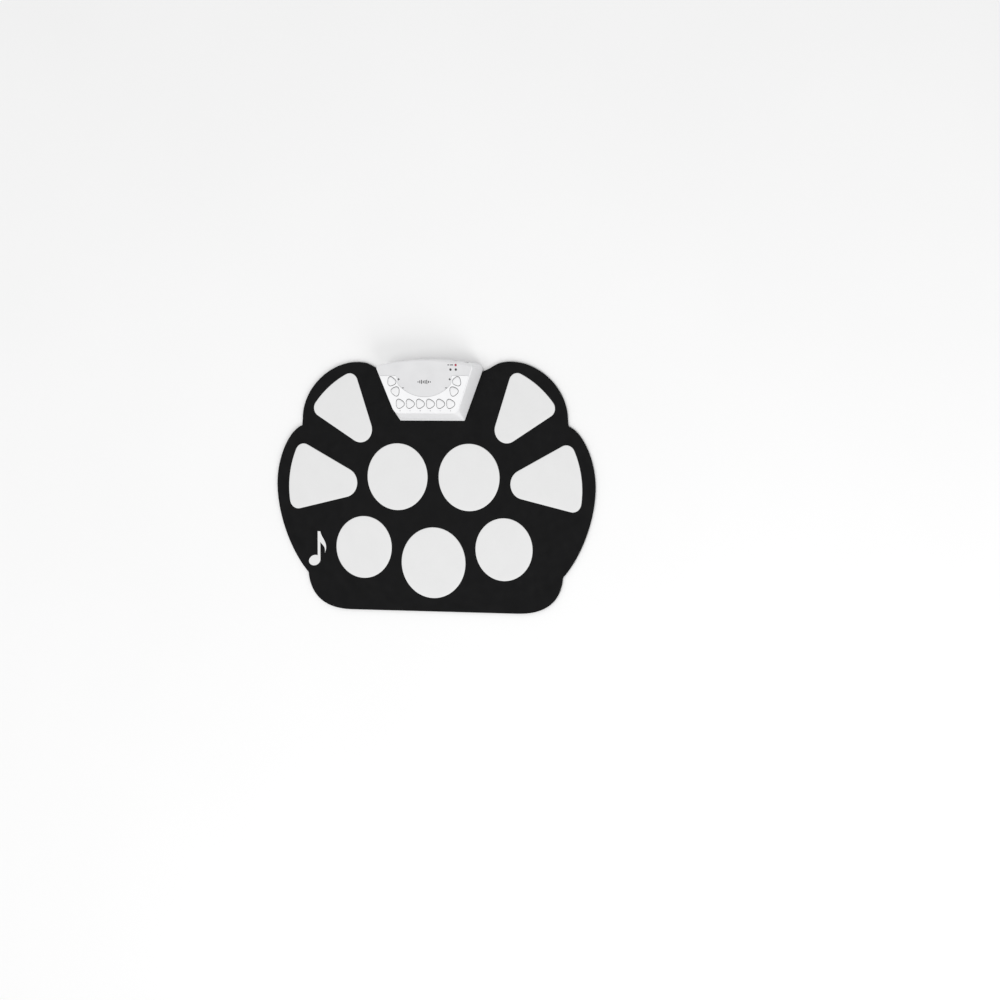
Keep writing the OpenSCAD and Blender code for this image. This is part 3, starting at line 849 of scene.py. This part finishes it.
def bezel_outline():
    front = module_plan(10, 5, 2, TOP_ROUND - 1)[:9]
    outer = (side_line(5, ARM_END), ARM_END)
    inner = (math.sqrt(CHEEK_R ** 2 - (ARM_END - CHEEK_CENTRE[1]) ** 2), ARM_END)
    cheek_end_y = (CHEEK_R ** 2 - DISH_R ** 2 + DISH_CENTRE[1] ** 2 - CHEEK_CENTRE[1] ** 2) / 51
    cheek_end = math.sqrt(CHEEK_R ** 2 - (cheek_end_y - CHEEK_CENTRE[1]) ** 2)
    cheek_angle = math.degrees(math.atan2(cheek_end_y - CHEEK_CENTRE[1], cheek_end))
    dish_angle = math.degrees(math.atan2(cheek_end_y - DISH_CENTRE[1], cheek_end))
    half = (front + rounded_corner(front[-1], outer, inner, 1.6)
            + rounded_corner(outer, inner, (inner[0], inner[1] - 9), 2.2)
            + arc(CHEEK_CENTRE, CHEEK_R, -4, cheek_angle, 8)
            + arc(DISH_CENTRE, DISH_R, dish_angle, -90, 24)[1:])
    return without_repeats(half[:-1] + mirrored(half))


RIM = [(KEY_GAP, 0.0), (0.27, 0.55), (0.33, 0.78), (0.47, BEZEL_T), (0.56, BEZEL_T)]
bezel = bmesh.new()
under, over = stack(bezel, bezel_outline(),
                    [(0, 0), (0, 0.5), (0.1, 0.75), (0.32, BEZEL_T), (0.42, BEZEL_T)], on_top)
rims = [loft(bezel, [loop(key_outline(key, grow), z, on_top) for grow, z in RIM]) for key in keys]
fill(bezel, under, *[rim[0] for rim in rims])
fill(bezel, over, *[rim[1] for rim in rims])
bezel = built("bezel", bezel, bezel_white, "head", "bezel_plastic", "key_bezel")

# %% [markdown]
# Each key is a moulded cap with a softly domed top and a flange that keeps it
# from coming out. Under it is a rubber dome that pushes it back up. A thin dark
# ring in the gap round each key is painted shade: it stands in for the shadow
# between key and bezel, and draws the key's outline.

# %% Make the keys
CAP = [(0.7, -3.1), (0.8, -3.0), (0.8, -2.2), (0.7, -2.1), (-0.2, -2.1), (-0.4, -2.0), (-0.42, 0.9),
       (-0.5, 1.2), (-0.75, 1.5), (-1.2, 1.66), (-2.2, 1.76), (-3.6, 1.79), (-4.9, 1.8)]
for key in keys:
    cap = bmesh.new()
    solid(cap, [loop(key_outline(key, grow), z, on_top) for grow, z in CAP])
    built(f"{key}_cap", cap, key_white, key, "key_plastic", key)

# Painted shade: a thin dark ring in the gap round each key, where the shadow between key and bezel falls. It
# draws the key's outline.
KEY_GAP_SHADE = [(-0.36, 0.0), (0.2, 0.0), (0.24, 0.3), (-0.36, 0.3)]
key_gap_shade = bmesh.new()
for key in keys:
    tube_ring(key_gap_shade, [loop(key_outline(key, grow), z, on_top) for grow, z in KEY_GAP_SHADE])
built("key_seals", key_gap_shade, part_black, "head")
print("bezel faces:", len(bezel.data.polygons), "and", len(keys), "keys")

# %% [markdown]
# The lamps are little resin domes on two legs. The prints on the label are thin
# films: a row of bars like a beat meter in the middle, a plus and a minus
# beside the side keys, and two ticks by the lamps.

# %% Make the lamps and prints
def lamp(bm, x, y):
    lathe(bm, [(1.5, -3.9), (1.5, 0.1), (1.42, 0.3), (1.15, 0.48), (0.7, 0.57), (0.25, 0.6)],
          lambda a, b, z: on_top(x + a, y + b, z), 32)
    for leg in (-0.7, 0.7):
        lathe(bm, [(0.3, 16.4), (0.3, 24)], lambda a, b, z: Vector((x + leg + a, y + b, z)), 12)


for name, places, finish, slot_name, node in (
    ("lamp_power", lamps[:1], lamp_red, "led_red", "power_led"),
    ("lamps_status", lamps[1:], lamp_dark, "led_dark", "status_leds"),
):
    bm = bmesh.new()
    for x, y in places:
        lamp(bm, x, y)
    built(name, bm, finish, "head", slot_name, node)

LABEL_T = 0.35
prints = bmesh.new()


def printed(outline):
    plate(prints, outline, [(0, LABEL_T - 0.1), (0, LABEL_T + 0.03), (0.05, LABEL_T + 0.05)], on_top)


def plus_outline(x, y, arm, half):
    quarter = [(arm, half), (half, half), (half, arm)]
    turned = [(a, b) for k in range(4) for a, b in (tuple(Matrix.Rotation(math.pi / 2 * k, 2) @ Vector(p))
                                                    for p in quarter)]
    return [(x + a, y + b) for a, b in turned]


for i, height in enumerate((2.0, 3.8, 5.2, 3.4, 4.6, 5.4, 3.0, 1.8)):
    x = (i - 3.5) * 2.5
    printed(box_outline(x - 0.6, x + 0.6, 133 - height / 2, 133 + height / 2, 0.55, 4))
for side in (-1, 1):
    printed(plus_outline(side * 36.2, 136.4, 1.5, 0.45))
    printed(box_outline(side * 30.6 - 1.5, side * 30.6 + 1.5, 124.9, 125.8, 0.3, 3))
printed(box_outline(33.8, 36.4, 154.1, 155.2, 0.4, 4))
printed(box_outline(37.4, 41.9, 154.1, 155.2, 0.4, 4))
prints = built("label_prints", prints, print_grey, "head")

icons = bmesh.new()
ICON_Y = 96.1
SIGN_EDGE = [(0, BEZEL_T - 0.1), (0, BEZEL_T + 0.02), (0.04, BEZEL_T + 0.04)]
for key, points in (
    ("function_key_1", disc(0, 0, 0.8, 24)),
    ("function_key_2", [(-0.6, -0.8), (0.8, 0), (-0.6, 0.8)]),
    ("function_key_3", box_outline(-0.7, 0.7, -0.7, 0.7, 0.1, 2)),
    ("function_key_4", [(0, -0.9), (0.9, 0), (0, 0.9), (-0.9, 0)]),
    ("function_key_5", box_outline(-1.0, 1.0, -0.25, 0.25, 0.1, 2)),
    ("function_key_6", plus_outline(0, 0, 0.8, 0.25)),
):
    plate(icons, [(keys[key][0] + x, ICON_Y + y) for x, y in points], SIGN_EDGE, on_top)
icons = built("key_signs", icons, sign_grey, "head")
print("label prints:", len(prints.data.polygons), "faces, key signs:", len(icons.data.polygons), "faces")

# %% [markdown]
# ## Under and behind the module
#
# The mat's tongue carries on between the shells, which are screwed together
# through it. Things that repeat - screws, rubber feet, collars of the jacks, ribs
# of the battery door - are each built once and copied by a Geometry Nodes tree
# that puts an instance on every point of a small mesh of points.

# %% Copies by Geometry Nodes
def node_value(modifier, name, value):
    """Sets an input of a Geometry Nodes modifier by the name that its tree gives it."""
    for item in modifier.node_group.interface.items_tree:
        if item.item_type == "SOCKET" and item.in_out == "INPUT" and item.name == name:
            modifier[item.identifier] = value


def empty_tree(name, sockets):
    """A Geometry Nodes tree with named inputs, and its last steps: make real, give a material."""
    tree = bpy.data.node_groups.new(name, "GeometryNodeTree")
    for socket, kind in sockets + [("Finish", "Material")]:
        tree.interface.new_socket(socket, in_out="INPUT", socket_type=f"NodeSocket{kind}")
    tree.interface.new_socket("Result", in_out="OUTPUT", socket_type="NodeSocketGeometry")
    given, result = tree.nodes.new("NodeGroupInput"), tree.nodes.new("NodeGroupOutput")
    real = tree.nodes.new("GeometryNodeRealizeInstances")
    paint = tree.nodes.new("GeometryNodeSetMaterial")
    join(tree, (real.outputs["Geometry"], paint.inputs["Geometry"]),
         (given.outputs["Finish"], paint.inputs["Material"]),
         (paint.outputs["Geometry"], result.inputs["Result"]))
    return tree, given.outputs, real.inputs["Geometry"]


def join(tree, *pairs):
    for a, b in pairs:
        tree.links.new(a, b)


def copies_tree():
    """A tree that puts a copy of one object on each point."""
    tree, given, last = empty_tree("copies_on_points", [("Points", "Geometry"), ("Original", "Object")])
    original = tree.nodes.new("GeometryNodeObjectInfo")
    place = tree.nodes.new("GeometryNodeInstanceOnPoints")
    join(tree, (given["Points"], place.inputs["Points"]),
         (given["Original"], original.inputs["Object"]),
         (original.outputs["Geometry"], place.inputs["Instance"]),
         (place.outputs["Instances"], last))
    return tree


copies = copies_tree()


def copied(name, bm, places, finish):
    """One piece made of copies of a small mesh, one at each of the places, in millimetres."""
    close(bm)
    original = finished(f"{name}_original", bm, finish)
    mesh = bpy.data.meshes.new(name)
    mesh.from_pydata([Vector(p) * MM for p in places], [], [])
    piece = bpy.data.objects.new(name, mesh)
    bpy.context.scene.collection.objects.link(piece)
    modifier = piece.modifiers.new("copies", "NODES")
    modifier.node_group = copies
    node_value(modifier, "Original", original)
    node_value(modifier, "Finish", finish)
    replace_by_result(piece)
    bpy.data.objects.remove(original)
    return piece


# %% Tongue, screws and feet
tongue = bmesh.new()
right_half = [(side_line(inwards, y), y)
              for inwards, y in ((0.3, 83.35), (0.3, TONGUE_REAR), (9, 140), (9, 92))]
plate(tongue, right_half + mirrored(right_half), [(0, 1.65), (0, 3.15)])
built("mat_tongue", tongue, mat_black, "head", "mat_silicone")


screw = bmesh.new()
rim_low, rim_high = loft(screw, [loop(disc(0, 0, r, 32), z) for r, z in (
    (1.9, 0.1), (2.2, 0.15), (2.38, 0.4), (2.4, 0.9), (1.2, 0.9), (1.2, 8.6), (0.7, 8.8))])
fill(screw, rim_high)
slot_low, slot_high = loft(screw, [loop(plus_outline(0, 0, 1.35, 0.32), 0.1),
                                   loop(plus_outline(0, 0, 1.2, 0.26), 0.5)])
fill(screw, rim_low, slot_low)
fill(screw, slot_high)
screw_places = [(s * x, y, 0) for x, y in ((38, 88.6), (60.3, 135)) for s in (-1, 1)]
placed_on(copied("case_screw_copies", screw, screw_places, plated_steel), "head",
          "plated_steel", "case_screws")

foot = bmesh.new()
lathe(foot, [(4.5, 0.9), (4.5, 0.3), (4.35, 0.1), (4.0, 0.0), (3.3, 0.0), (2.9, 0.12), (0.8, 0.12)],
      on_table, 48)
foot_places = [(s * x, y, 0) for x, y in ((32, 101), (45, 138)) for s in (-1, 1)]
placed_on(copied("rubber_foot_copies", foot, foot_places, foot_rubber), "head",
          "foot_rubber", "rubber_feet")
print("screws:", len(screw_places), "feet:", len(foot_places))

# %% [markdown]
# Four sockets for 3.5 mm plugs and a small power socket look out of the rear
# wall. Each jack has a plated collar round its hole, and the power socket is a
# folded steel shell with a black tongue that carries the contacts.

# %% Collars and power socket
def nose_end(x):
    return REAR_CENTRE.y + math.sqrt((REAR_R - 0.3) ** 2 - x * x) - 0.3


collar = bmesh.new()
COLLAR = [(2.95, -0.5), (2.95, 0.1), (2.8, 0.22), (2.2, 0.22), (1.95, 0.1), (1.85, -0.1), (1.85, -0.5)]
tube_ring(collar, [loop([(x * r, y * r) for x, y in disc(0, 0, 1, 40)], z, facing_rear(0, 0))
                   for r, z in COLLAR])
collar_places = [(x, nose_end(x), JACK_Z) for x in JACKS]
placed_on(copied("jack_collars", collar, collar_places, plated_steel), "head", "plated_steel")

USB_Z0, USB_Z1 = 16.4, 19.0
socket = bmesh.new()


def socket_loop(inwards, y, radius):
    shape = box_outline(-3.8 + inwards, 3.8 - inwards, USB_Z0 + inwards, USB_Z1 - inwards, radius)
    return [Vector((x, y, z)) for x, z in shape]


solid(socket, [socket_loop(0.3, 154.8, 0.6), socket_loop(0, 155.0, 0.8), socket_loop(0, 160.65, 0.8),
               socket_loop(0.1, 160.8, 0.7), socket_loop(0.28, 160.8, 0.6), socket_loop(0.38, 160.6, 0.5),
               socket_loop(0.4, 156, 0.5)])
built("power_socket", socket, plated_steel, "head", "plated_steel", "usb_socket")
tongue = bmesh.new()
solid(tongue, [[Vector((x, y, z)) for x, z in box_outline(-2.4 + d, 2.4 - d, 17.9 + d, 18.3 - d, 0.08, 2)]
               for d, y in ((0, 156), (0, 159.8), (0.1, 160))])
built("power_socket_tongue", tongue, part_black, "head", "black_plastic")
print("collars:", len(collar_places))

# %% [markdown]
# The battery door slides out to the rear under the module. It has rails on both
# sides, and on its underside a row of ribs for the thumb and a raised arrow.

# %% Make the battery door
DOOR_HALF, DOOR_FRONT, RAIL_HALF = 24.5, 118.3, 25.3
door_rear = math.degrees(math.acos(DOOR_HALF / (REAR_R - 0.8)))
door_outline = ([(-DOOR_HALF, DOOR_FRONT + 1), (-DOOR_HALF + 1, DOOR_FRONT), (DOOR_HALF - 1, DOOR_FRONT),
                 (DOOR_HALF, DOOR_FRONT + 1)]
                + arc(REAR_CENTRE, REAR_R - 0.8, door_rear, 180 - door_rear, 20))
door = bmesh.new()
DOOR_EDGE = [(1.2, 0.5), (0.5, 0.5), (0.18, 0.58), (0, 0.85), (0, 1.8), (0.15, 1.97), (0.4, 2.0), (1, 2.0)]
RAIL_EDGE = [(0.05, 1.1), (0, 1.15), (0, 1.55), (0.05, 1.6)]
plate(door, door_outline, DOOR_EDGE)
for side in (-1, 1):
    edges = sorted((side * (DOOR_HALF - 0.4), side * RAIL_HALF))
    plate(door, box_outline(*edges, DOOR_FRONT + 0.5, 157, 0.3, 3), RAIL_EDGE)
arrow = [(-4, 142), (4, 142), (0, 147.5)]
plate(door, arrow, [(0, 0.6), (0, 0.3), (0.25, 0.2)])
built("battery_door_panel", door, shell_white, "battery_door", "shell_plastic", "battery_door")

rib = bmesh.new()
plate(rib, box_outline(-9, 9, -0.45, 0.45, 0.4, 5), [(0, 0.6), (0, 0.28), (0.1, 0.16), (0.25, 0.12)])
rib_places = [(0, 150 + 1.7 * i, 0) for i in range(6)]
placed_on(copied("battery_door_ribs", rib, rib_places, shell_white), "battery_door", "shell_plastic")
print("door ribs:", len(rib_places))

# %% [markdown]
# Behind the door lie three small cells side by side. Each is a printed sleeve
# shrunk over a steel can, with its ends rolled in. They are held by flat plates,
# and pushed by conical springs, which a Geometry Nodes tree sweeps along a
# tapering spiral.

# %% Make the cells and springs
CELL_YS, CELL_Z, CELL_L = (127, 138, 149), 7.95, 44.5


def along_x(y0, flip):
    """A place whose height runs along X, towards +X or, flipped, towards -X."""
    return lambda x, y, z: Vector((-z if flip else z, y0 + y, CELL_Z + x))


sleeves, cans, plates = bmesh.new(), bmesh.new(), bmesh.new()
half = CELL_L / 2
for i, y in enumerate(CELL_YS):
    place = along_x(y, i == 1)
    lathe(sleeves, [(4.3, -half + 0.05), (5.0, -half + 0.05), (5.25, -half + 0.4), (5.25, half - 1.5),
                    (5.0, half - 1.1), (4.3, half - 1.05)], place, 48)
    lathe(cans, [(4.2, -half), (4.5, -half + 0.3), (4.5, half - 1.3), (4.1, half - 1.0), (2.1, half - 1.0),
                 (1.9, half - 0.85), (1.9, half - 0.2), (1.7, half)], place, 40)
    for side in (-1, 1):
        outline = box_outline(y - 4, y + 4, CELL_Z - 4, CELL_Z + 4, 0.8)
        solid(plates, [[Vector((side * x, a, b)) for a, b in inset(outline, d)]
                       for d, x in ((0.1, 24.9), (0, 25.0), (0, 25.3), (0.1, 25.4))])
built("cell_sleeves", sleeves, cell_sleeve, "head", "cell_wrap", "battery_cells")
built("cell_cans", cans, plated_steel, "head", "plated_steel")
built("contact_plates", plates, plated_steel, "head", "plated_steel", "battery_contacts")


SPRING = {"Turns": 3.5, "Wide Radius": 2.8 * MM, "Narrow Radius": 1.6 * MM, "Height": 2.3 * MM,
          "Wire Radius": 0.22 * MM}


def spring_tree():
    """A tree that sweeps a round wire along a tapering spiral."""
    tree, given, last = empty_tree("conical_spring", [(name, "Float") for name in SPRING])
    spiral = tree.nodes.new("GeometryNodeCurveSpiral")
    spiral.inputs["Resolution"].default_value = 28
    wire = tree.nodes.new("GeometryNodeCurvePrimitiveCircle")
    wire.inputs["Resolution"].default_value = 10
    sweep = tree.nodes.new("GeometryNodeCurveToMesh")
    sweep.inputs["Fill Caps"].default_value = True
    join(tree, (given["Turns"], spiral.inputs["Rotations"]),
         (given["Wide Radius"], spiral.inputs["Start Radius"]),
         (given["Narrow Radius"], spiral.inputs["End Radius"]),
         (given["Height"], spiral.inputs["Height"]),
         (given["Wire Radius"], wire.inputs["Radius"]),
         (spiral.outputs["Curve"], sweep.inputs["Curve"]),
         (wire.outputs["Curve"], sweep.inputs["Profile Curve"]),
         (sweep.outputs["Mesh"], last))
    return tree


springs = spring_tree()
for i, y in enumerate(CELL_YS):
    flat_end = -1 if i != 1 else 1
    piece = bpy.data.objects.new(f"contact_spring_{i + 1}", bpy.data.meshes.new("spring"))
    bpy.context.scene.collection.objects.link(piece)
    modifier = piece.modifiers.new("spring", "NODES")
    modifier.node_group = springs
    node_value(modifier, "Finish", plated_steel)
    for setting, value in SPRING.items():
        node_value(modifier, setting, value)
    replace_by_result(piece)
    turned = Matrix.Rotation(math.radians(-90 * flat_end), 4, "Y")
    piece.data.transform(Matrix.Translation(Vector((flat_end * 24.85, y, CELL_Z)) * MM) @ turned)
    placed_on(piece, "head", "plated_steel")
print("cells:", len(CELL_YS), "springs:", len(CELL_YS))

# %% [markdown]
# ## The parts inside
#
# The boards, chips, membrane, sensors and the bottom shell are already the right
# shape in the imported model. They only need their finishes, and a small bevel so
# that no edge is a knife edge. The bevel works on welded points, and only where
# two faces meet at a real angle.

# %% Finishes of the parts inside
def dress(node, finish, bevel_mm):
    piece = frame["nodes"][node]
    piece.data.materials.clear()
    piece.data.materials.append(finish)
    if bevel_mm:
        weld = piece.modifiers.new("weld", "WELD")
        weld.merge_threshold = 0.002 * MM
        bevel = piece.modifiers.new("bevel", "BEVEL")
        bevel.width = bevel_mm * MM
        bevel.segments = 2
        bevel.limit_method = "ANGLE"
        bevel.angle_limit = math.radians(40)


for finish, bevel_mm, nodes in (
    (shell_white, 0.15, "bottom_shell"),
    (label_grey, 0.0, "label_panel"),
    (membrane_grey, 0.1, "keypad_membrane"),
    (board_green, 0.0, "key_board main_board"),
    (plated_steel, 0.1, "key_board_screws"),
    (part_black, 0.15, "board_header board_chips ribbon_connector"),
    (part_black, 0.1, "pedal_jack_left pedal_jack_right phones_jack aux_jack"),
    (ribbon_amber, 0.0, "ribbon_tail"),
    (sensor_brass, 0.1, "sensors_upper sensors_row_1 sensors_row_2 sensor_centre"),
):
    for node in nodes.split():
        dress(node, finish, bevel_mm)
left_bare = [n for n, o in frame["nodes"].items() if not o.hide_render
             and not any(m and m.name in bpy.data.materials and m.use_nodes for m in o.data.materials)]
shown = sum(not o.hide_render for o in frame["nodes"].values())
print("nodes shown as packed:", shown, "left bare:", left_bare)

# %% [markdown]
# ## Light, floor and camera
#
# A plain pale floor and soft light from all sides. The camera stands high above
# the drum pad, out to the player's right, and far away, so the far edge is hardly
# smaller than the near one.

# %% Stage
FLOOR_R = 3500
SURROUNDINGS = 0.70
LIGHTS = [
    ("key_light", (-0.9, -0.6, 2.6), 1.6, 15),
    ("fill_light", (1.5, -1.7, 1.3), 1.8, 23),
]


def stage():
    floor = bmesh.new()
    floor.faces.new([floor.verts.new((x, y, 0)) for x, y in disc(0, 0, FLOOR_R, 64)])
    pale = moulded("pale_floor", (0.95, 0.95, 0.95), (0.96, 0.96, 0.96), 0.8, 3, 0.02, blotch_mm=300,
                   specular=0.2)
    piece = finished("floor", floor, pale)

    world = bpy.data.worlds.new("soft_surroundings")
    bpy.context.scene.world = world
    world.use_nodes = True
    surroundings = world.node_tree.nodes["Background"]
    surroundings.inputs["Color"].default_value = (1, 1, 1, 1)
    surroundings.inputs["Strength"].default_value = SURROUNDINGS

    for name, place, size, power in LIGHTS:
        light = bpy.data.lights.new(name, "AREA")
        light.shape = "DISK"
        light.size = size
        light.energy = power
        lamp = bpy.data.objects.new(name, light)
        lamp.location = place
        lamp.rotation_euler = (-Vector(place)).to_track_quat("-Z", "Y").to_euler()
        bpy.context.scene.collection.objects.link(lamp)


stage()

EYE = Vector((2.1474, 0.1729, 4.4439))
TARGET = Vector((0.0930, -0.0177, 0))
UP = Vector((-0.0128, 0.9992, -0.037))
camera_data = bpy.data.cameras.new("camera")
camera_data.lens = 138.6
camera_data.sensor_width = 36
camera_data.clip_end = 20
camera_data.dof.use_dof = False
camera = bpy.data.objects.new("camera", camera_data)
back = (EYE - TARGET).normalized()
right = UP.cross(back).normalized()
camera.matrix_world = Matrix.Translation(EYE) @ Matrix((right, back.cross(right), back)).transposed().to_4x4()
bpy.context.scene.collection.objects.link(camera)
bpy.context.scene.camera = camera
bpy.context.scene.view_settings.view_transform = "Standard"
print("camera is", round((EYE - TARGET).length, 2), "m from the drum pad")
